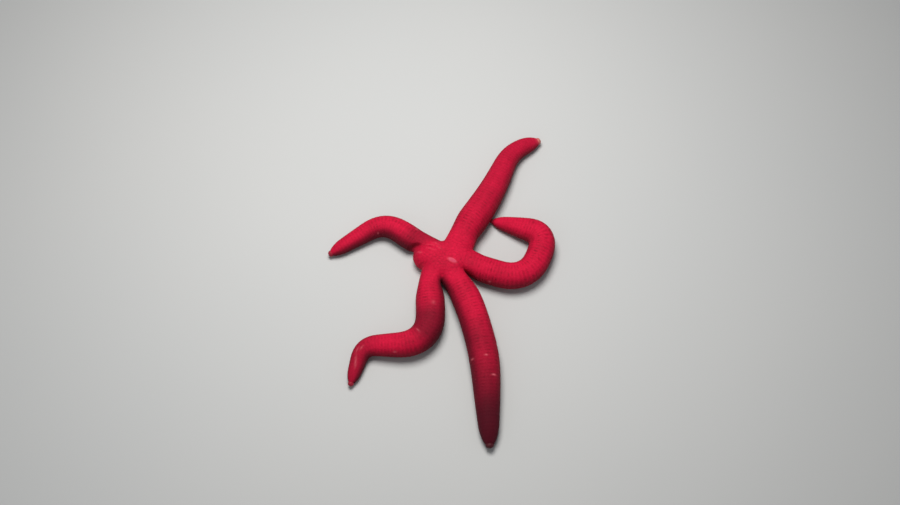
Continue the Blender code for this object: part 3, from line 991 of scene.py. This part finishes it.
grains = Spread(GRANULE_GAP, 5)
random = np.random.default_rng(7)
cone = peg_pattern(sides=7, foot=1.0, top=0.0, depth=1.5, middle=0.25)
outside = grains.outside()
for label, mine in grains.stretches():
    mine = mine & outside
    total = int(mine.sum())
    size = FINEST_GRANULE + (1.0 - FINEST_GRANULE) * np.clip(grains.tone[mine], 0.0, 1.0)
    wide = GRANULE_RADIUS * size * random.uniform(0.85, 1.1, total)
    high = GRANULE_RISE * size * random.uniform(0.8, 1.15, total)
    tone = grains.tone[mine] + random.normal(0.0, 0.06, total)
    # Each granule takes the tone, paleness and painted shade of the skin at its root.
    coat = add_copies(f"granules_{label}", cone, velvet, grains.places[mine], grains.lean[mine],
                      random.normal(size=(total, 3)), np.stack([wide, wide, high], axis=1),
                      grains.unwrap[mine], tone=tone, pale=grains.pale[mine],
                      deep=grains.deep[mine])


# ---------------------------------------------------------------------------
# Papulae. From each pore field stand a few soft hollow fingers, through which the
# animal breathes. They are thin-walled and dark, and hardly pass the granules.

PAPULA_GAP = 0.00042
PAPULA_RADIUS = 0.00012
PAPULA_RISE = 0.00034
PORE_TONE = 0.42  # the skin's tone is lower than this in the pore fields

papula_finish = Finish("dark_papulae", roughness=0.5, specular_ior_level=0.35)
papula_finish.mottle(400.0, (0.34, 0.004, 0.026), (0.50, 0.007, 0.036))
pores = Spread(PAPULA_GAP, 8)
in_pores = pores.outside() & (pores.tone < PORE_TONE) & (pores.part != BOTTOM_PART)
finger = peg_pattern(sides=5, foot=1.0, top=0.75, depth=1.3, middle=0.35, dome=0.2)
for part, label in enumerate([arm.name for arm in ARMS] + ["disc"]):
    mine = in_pores & ((pores.part == part) if part < len(ARMS) else ~pores.on_arm)
    total = int(mine.sum())
    wide = PAPULA_RADIUS * random.uniform(0.8, 1.2, total)
    sizes = np.stack([wide, wide, PAPULA_RISE * random.uniform(0.6, 1.15, total)], axis=1)
    lean = pores.lean[mine] + random.normal(0.0, 0.16, (total, 3))
    fingers = add_copies(f"papulae_{label}", finger, papula_finish.material, pores.places[mine],
                         lean, random.normal(size=(total, 3)), sizes, pores.unwrap[mine])


# ---------------------------------------------------------------------------
# Furrow spines. Along both sides of the groove under each arm stand short flat blunt
# spines of lime in two ranks, the inner fine and close, the outer broader. They
# are jointed to the edge plates, and lean in over the tube feet.

SPINE_STOP = 0.0035  # short of an arm's end
FLOOR_CLEARANCE = 0.00012
# Ranks: step, place in the ring, half width, half thickness, lean to the groove.
SPINE_RANKS = (
    (0.00085, 1.10, 0.00034, 0.00018, 0.45),
    (0.00170, 1.80, 0.00060, 0.00026, 0.10),
)
SPINE_TOP = 0.95  # the middle of the peg's domed top, as a share of its size
LONGEST_SPINE = 0.0016
MOUTH_RADIUS = 0.0058
MOUTH_SIZE = 0.6  # of spines and feet at the disc's centre, as a share


def below(places):
    """The same places on the underside of the disc's skin."""
    under = np.where(skin_data.part == BOTTOM_PART)[0]
    for place in places:
        apart = np.sum((skin_data.places[under, :2] - place[:2]) ** 2, axis=1)
        place[2] = np.mean(skin_data.places[under[np.argsort(apart)[:4]], 2])
    return places


def along_groove(part, step, column):
    """Points at both sides of an arm's groove, from the mouth on: places, inward and forward
    directions, sizes for the width there, and places in an unwrap."""
    arm = ARMS[part]
    centre = np.array(DISC_CENTRE)
    steps = np.arange(0.5 * step, arm.flesh_end - arm.root_at - SPINE_STOP, step)
    turned = np.array([arm.heading(arm.root_at + at) for at in steps])
    on_arm = np.stack([np.cos(turned), np.sin(turned), np.zeros(len(steps))], axis=1)
    sizes = np.array([arm.width(arm.root_at + at) for at in steps]) / arm.swell_width
    for side in (1, -1):
        columns = np.full(len(steps), column if side > 0 else RING_SIZE - column)
        points = skin_data.surface(part, steps, columns)
        out = points[0, :2] - centre
        reach = np.hypot(*out)
        inner = np.arange(reach - step, MOUTH_RADIUS, -step)
        shares = (inner / reach)[:, None]
        drawn = np.concatenate([centre + out * shares, np.zeros((len(inner), 1))], axis=1)
        points = np.concatenate([below(drawn), points])
        ahead = np.concatenate([np.repeat(on_arm[:1], len(inner), axis=0), on_arm])
        inward = side * np.stack([-ahead[:, 1], ahead[:, 0], ahead[:, 2]], axis=1)
        near_mouth = sizes[0] * (MOUTH_SIZE + (1.0 - MOUTH_SIZE) * shares[:, 0])
        along = np.concatenate([inner - reach, steps])
        across = np.full(len(along), columns[0] * STRIP_WIDTH / RING_SIZE)
        yield (points, inward, ahead, np.concatenate([near_mouth, sizes]),
               np.stack([along, across], axis=1))


def add_rows(name, pattern, material, rows):
    """One piece of several rows of copies."""
    add_copies(name, pattern, material, *(np.concatenate(column) for column in zip(*rows)))


def lime_finish(name, dark, light):
    """Bare lime of the skeleton: a grainy matte mix of two colours."""
    finish = Finish(name, roughness=0.6, specular_ior_level=0.3)
    mottle = finish.mottle(500.0, dark, light, 3.0)
    finish.feed("Roughness", 0.5 + 0.25 * mottle)
    finish.grain(3000.0, 0.3, 0.0001)
    return finish.material


spine_lime = lime_finish("spine_lime", (0.52, 0.10, 0.06), (0.66, 0.26, 0.13))
spine = peg_pattern(sides=6, foot=0.8, top=1.0, depth=1.2, middle=0.3, dome=0.1)
down = np.array([0.0, 0.0, -1.0])
for part, arm in enumerate(ARMS):
    rows = []
    for step, column, half_width, half_thickness, lean in SPINE_RANKS:
        for points, inward, ahead, wide, unwrap in along_groove(part, step, column):
            ups = down + lean * inward + random.normal(0.0, 0.08, points.shape)
            reach = np.minimum(points[:, 2] - FLOOR_CLEARANCE, LONGEST_SPINE)
            sizes = np.stack([half_width * wide, half_thickness * wide, reach / SPINE_TOP], axis=1)
            rows.append((points, ups, ahead, sizes, unwrap))
    add_rows(f"furrow_spines_{arm.name}", spine, spine_lime, rows)


# ---------------------------------------------------------------------------
# Tube feet. Two rows of soft water-filled feet hang in each groove, each with a
# sucker that holds the floor. Their wall is thin and amber.

FOOT_STEP = 0.0018
FOOT_PLACE = 0.42  # in the ring, from the groove's middle
FOOT_RADIUS = 0.00072
FOOT_SPREAD = 0.12  # lean away from the groove's middle
LONGEST_FOOT = 0.0045
FOOT_PROFILE = ((0.0, -0.08), (0.95, -0.05), (0.62, 0.45), (0.66, 0.84), (1.0, 0.93), (0.0, 1.0))
FOOT_SIDES = 7


def spin_round(builder, steps):
    """Turns the outline in a builder right round the z axis."""
    bmesh.ops.spin(builder, geom=builder.verts[:] + builder.edges[:], cent=(0.0, 0.0, 0.0),
                   axis=(0.0, 0.0, 1.0), angle=2.0 * pi, steps=steps, use_merge=True)


def foot_pattern():
    """A stalk that widens to its sucker, turned from its profile."""
    builder = bmesh.new()
    start_chain(builder, [(radius, 0.0, z) for radius, z in FOOT_PROFILE], False)
    spin_round(builder, FOOT_SIDES)
    bmesh.ops.remove_doubles(builder, verts=builder.verts, dist=1e-4)
    return pattern_of(builder)


amber = Finish("amber_feet", roughness=0.35, specular_ior_level=0.5, subsurface_weight=0.25,
               subsurface_scale=0.001)
amber.mottle(300.0, (0.62, 0.20, 0.06), (0.80, 0.42, 0.16))
foot = foot_pattern()
for part, arm in enumerate(ARMS):
    rows = []
    for points, inward, ahead, wide, unwrap in along_groove(part, FOOT_STEP, FOOT_PLACE):
        ups = down - FOOT_SPREAD * inward + random.normal(0.0, 0.10, points.shape)
        reach = np.minimum(points[:, 2] - FLOOR_CLEARANCE, LONGEST_FOOT)
        reach *= random.uniform(0.86, 1.0, len(points))
        radius = FOOT_RADIUS * wide * random.uniform(0.85, 1.05, len(points))
        rows.append((points, ups, ahead, np.stack([radius, radius, reach], axis=1), unwrap))
    add_rows(f"tube_feet_{arm.name}", foot, amber.material, rows)


# ---------------------------------------------------------------------------
# Mouth. Between the roots of the grooves five jaws, each a pair of edge plates, carry
# fans of blunt spines over the mouth; a soft puckered lip rings the opening.

JAW_RADIUS = 0.0046
JAW_SPREAD = 0.50  # half angle of a jaw's fan of spines, in radians
JAW_BOW = 0.25  # how far the fan's ends are drawn in to the centre
JAW_DROP = 0.30  # slope of its spines
JAW_SPINES = 7
JAW_SPINE = (0.00042, 0.00026, 0.0022)
JAW_LEVEL = 0.0011
JAW_UNWRAP = 10.0
LIP_RADIUS = 0.0013
LIP_SECTION = 0.0006  # radius of its round section
LIP_LEVEL = 0.0034
LIP_FOLDS = 15
LIP_PUCKER = 0.10


def add_built(name, builder, material):
    """A smooth piece of one material from its builder."""
    mesh = mesh_of(name, builder)
    mesh.materials.append(material)
    return add_piece(name, mesh)


headings = sorted(arm.heading_at_root % 360 for arm in ARMS)
roots = []
leans = []
for first, second in zip(headings, headings[1:] + [headings[0] + 360]):
    middle = radians(0.5 * (first + second))
    for turn in np.linspace(-JAW_SPREAD, JAW_SPREAD, JAW_SPINES):
        out = JAW_RADIUS * (1.0 - JAW_BOW * turn ** 2)
        roots.append([DISC_CENTRE.x + out * cos(middle + turn),
                      DISC_CENTRE.y + out * sin(middle + turn), JAW_LEVEL])
        leans.append([-cos(middle + 0.5 * turn), -sin(middle + 0.5 * turn), -JAW_DROP])
roots = np.array(roots)
sizes = np.tile(JAW_SPINE, (len(roots), 1)) * random.uniform(0.85, 1.1, (len(roots), 1))
add_copies("mouth_spines", spine, spine_lime, roots, np.array(leans), np.cross(leans, down), sizes,
           roots[:, :2] * JAW_UNWRAP)

lip = bmesh.new()
bmesh.ops.create_circle(lip, cap_ends=False, segments=10, radius=LIP_SECTION)
for vert in lip.verts:
    vert.co = (LIP_RADIUS + vert.co.x, 0.0, LIP_LEVEL + vert.co.y)
spin_round(lip, 60)
for vert in lip.verts:
    pucker = 1.0 + LIP_PUCKER * cos(LIP_FOLDS * np.arctan2(vert.co.y, vert.co.x))
    vert.co.x = DISC_CENTRE.x + vert.co.x * pucker
    vert.co.y = DISC_CENTRE.y + vert.co.y * pucker
bmesh.ops.recalc_face_normals(lip, faces=lip.faces)
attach(add_built("mouth_lip", lip, amber.material), "root")


# ---------------------------------------------------------------------------
# Tip plates. Each arm ends in one hard domed plate of bare lime with a few knobs,
# set in the end of the skin. Under its edge sits the cushion with the arm's eye.

KNOBS = 26
KNOB_RISE = 0.00024
KNOB_SHARPNESS = 40.0
PLATE_FIT = 1.03  # the plate's size, as a share of the skin's end
EYE_RADIUS = 0.00042
EYE_TURN = radians(-58)


def tip_axes(arm):
    """Where the plate's dome is centred, and its half length, half width and height."""
    ahead = arm.heading(arm.length)
    width = arm.width(arm.flesh_end)
    height = HEIGHT_OVER_WIDTH * width
    centre = arm.place(arm.flesh_end) + Vector((0.0, 0.0, WIDEST_LEVEL * height))
    share = PLATE_FIT * PLATE_SHARE
    forward = Vector((cos(ahead), sin(ahead), 0.0)) * PLATE_RUN
    left = Vector((-sin(ahead), cos(ahead), 0.0)) * (0.5 * share * width)
    return centre, forward, left, share * height


def on_tip(axes, point):
    """Carries a point of the unit ball to the dome."""
    centre, forward, left, height = axes
    level = 1.0 - WIDEST_LEVEL if point.z > 0.0 else WIDEST_LEVEL
    return centre + forward * point.x + left * point.y + Vector((0.0, 0.0, point.z * level * height))


def knob_directions():
    """Directions spread evenly over a ball, by the golden angle."""
    for number in range(KNOBS):
        level = 1.0 - (2.0 * number + 1.0) / KNOBS
        turn = number * pi * (3.0 - sqrt(5.0))
        flat = sqrt(1.0 - level ** 2)
        yield Vector((level, flat * cos(turn), flat * sin(turn)))


plate_lime = lime_finish("plate_lime", (0.27, 0.006, 0.024), (0.40, 0.016, 0.040))
# Arm C's plate in painted shade, darkened with the end of its arm.
shaded_plate_lime = lime_finish("dark_plate_lime", (0.060, 0.004, 0.010), (0.110, 0.010, 0.018))
# Arm A's plate, paler like the end of its arm.
pale_tip_lime = lime_finish("worn_plate_lime", (0.50, 0.090, 0.085), (0.66, 0.230, 0.180))
knobs = list(knob_directions())
eyes = bmesh.new()
for arm in ARMS:
    axes = tip_axes(arm)
    builder = bmesh.new()
    bmesh.ops.create_uvsphere(builder, u_segments=40, v_segments=28, radius=1.0)
    for vert in builder.verts:
        direction = vert.co.normalized()
        raised = sum(np.exp(KNOB_SHARPNESS * (direction.dot(knob) - 1.0)) for knob in knobs)
        dome = on_tip(axes, direction)
        vert.co = dome + (dome - axes[0]).normalized() * float(KNOB_RISE * min(raised, 1.0))
    bmesh.ops.recalc_face_normals(builder, faces=builder.faces)
    lime = {"arm_a": pale_tip_lime, "arm_c": shaded_plate_lime}.get(arm.name, plate_lime)
    plate = add_built(f"tip_plate_{arm.name}", builder, lime)
    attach(plate, "root")
    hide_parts(f"{arm.name}_plate")
    eye = bmesh.ops.create_uvsphere(eyes, u_segments=14, v_segments=10, radius=EYE_RADIUS)
    spot = on_tip(axes, Vector((cos(EYE_TURN), 0.0, sin(EYE_TURN))))
    bmesh.ops.translate(eyes, verts=eye["verts"], vec=spot)
vermilion = Finish("vermilion_eyes", roughness=0.35)
vermilion.mottle(2500.0, (0.55, 0.02, 0.01), (0.85, 0.10, 0.02))
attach(add_built("eye_spots", eyes, vermilion.material), "root")


# ---------------------------------------------------------------------------
# Sieve plate. The madreporite lies off the disc's middle between two arms: an oval
# button of pale porous lime with winding furrows, through which water is drawn in.

SIEVE_SIDES = 120
SIEVE_RINGS = 14
SIEVE_DOME = 0.00040
SIEVE_FURROW = 0.00014
SIEVE_FOOT = 0.0006  # depth of its foot in the skin
SIEVE_STAND = 0.00006  # height of its rim over the skin


def sieve_height(share, turn):
    """Height over the rim at a share of the way out: a low dome with winding furrows."""
    branches = 9 if share < 0.55 else 18
    winding = 0.9 * sin(7.0 * share + 2.0 * turn) + 0.5 * sin(5.0 * turn)
    furrow = 0.5 + 0.5 * cos(branches * turn + 2.2 * winding)
    depth = SIEVE_FURROW * eased(share, 0.0, 0.2) * (1.0 - eased(share, 0.86, 0.14))
    return float(SIEVE_DOME * (1.0 - share ** 2) - depth * furrow ** 2)


near = (in_sieve(skin_data.places) < 1.0) & (skin_data.part == TOP_PART)
seat = Vector(skin_data.places[near].mean(axis=0))
lean = Vector(skin_data.normals[near].mean(axis=0)).normalized()
long_way = Vector((cos(SIEVE_TURN), sin(SIEVE_TURN), 0.0))
long_way = (long_way - lean * long_way.dot(lean)).normalized()
short_way = lean.cross(long_way)
button = bmesh.new()
bmesh.ops.create_cone(button, cap_ends=True, segments=SIEVE_SIDES, radius1=1.0, radius2=1.0,
                      depth=SIEVE_FOOT)
top = [face for face in button.faces if face.normal.z > 0.5]
for ring in range(SIEVE_RINGS - 1):
    bmesh.ops.inset_region(button, faces=top, thickness=1.0 / SIEVE_RINGS)
bmesh.ops.poke(button, faces=top)
for vert in button.verts:
    share = min(sqrt(vert.co.x ** 2 + vert.co.y ** 2), 1.0)
    rise = vert.co.z - 0.5 * SIEVE_FOOT
    if vert.co.z > 0.0:
        rise += SIEVE_STAND + sieve_height(share, float(np.arctan2(vert.co.y, vert.co.x)))
    vert.co = (seat + long_way * (0.5 * SIEVE_LENGTH * vert.co.x)
               + short_way * (0.5 * SIEVE_WIDTH * vert.co.y) + lean * rise)
bmesh.ops.recalc_face_normals(button, faces=button.faces)
sieve_lime = lime_finish("sieve_lime", (0.58, 0.040, 0.095), (0.78, 0.085, 0.165))
sieve = add_built("sieve_plate", button, sieve_lime)
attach(sieve, "root")
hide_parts("madreporite")


# ---------------------------------------------------------------------------
# Floor, light and camera. A plain pale floor under a large soft lamp high behind
# the animal, a weak lamp in front, and a pale room; the camera looks down on it.

FLOOR_SIZE = 12.0
ROOM_COLOUR = (0.93, 0.96, 1.0, 1.0)
ROOM_STRENGTH = 0.20
CAMERA_TARGET = Vector((0.0066, 0.0241, 0.010))
CAMERA_HEIGHT = radians(65)
CAMERA_DISTANCE = 0.8
CAMERA_LENS = 40.0  # millimetres, as is the sensor
CAMERA_SENSOR = 36.0


def add_lamp(name, place, size, power, colour):
    """A round soft lamp that points at the middle of the floor."""
    lamp = add_piece(name, bpy.data.lights.new(name, "AREA"))
    lamp.data.shape = "DISK"
    lamp.data.size = size
    lamp.data.energy = power
    lamp.data.color = colour
    lamp.location = place
    lamp.rotation_euler = (-lamp.location).to_track_quat("-Z", "Y").to_euler()


pale_floor = Finish("pale_floor", roughness=0.85, specular_ior_level=0.2)
pale_floor.mottle(3.0, (0.57, 0.58, 0.58), (0.61, 0.61, 0.60))
sheet = bmesh.new()
bmesh.ops.create_grid(sheet, x_segments=1, y_segments=1, size=FLOOR_SIZE)
add_built("floor", sheet, pale_floor.material)

add_lamp("high_lamp", (-0.04, 0.17, 0.61), size=0.34, power=4.00, colour=(1.0, 0.985, 0.96))
add_lamp("front_lamp", (-0.7, -0.9, 0.8), size=0.9, power=1.0, colour=(0.93, 0.97, 1.0))

room = bpy.data.worlds.new("room")
room.use_nodes = True
room.node_tree.nodes["Background"].inputs["Color"].default_value = ROOM_COLOUR
room.node_tree.nodes["Background"].inputs["Strength"].default_value = ROOM_STRENGTH
bpy.context.scene.world = room
bpy.context.scene.view_settings.view_transform = "Standard"

camera = add_piece("camera", bpy.data.cameras.new("camera"))
back = Vector((0.0, -cos(CAMERA_HEIGHT), sin(CAMERA_HEIGHT)))
camera.location = CAMERA_TARGET + CAMERA_DISTANCE * back
camera.rotation_euler = (-back).to_track_quat("-Z", "Y").to_euler()
camera.data.lens = CAMERA_LENS
camera.data.sensor_width = CAMERA_SENSOR
camera.data.clip_start = 0.01
bpy.context.scene.camera = camera
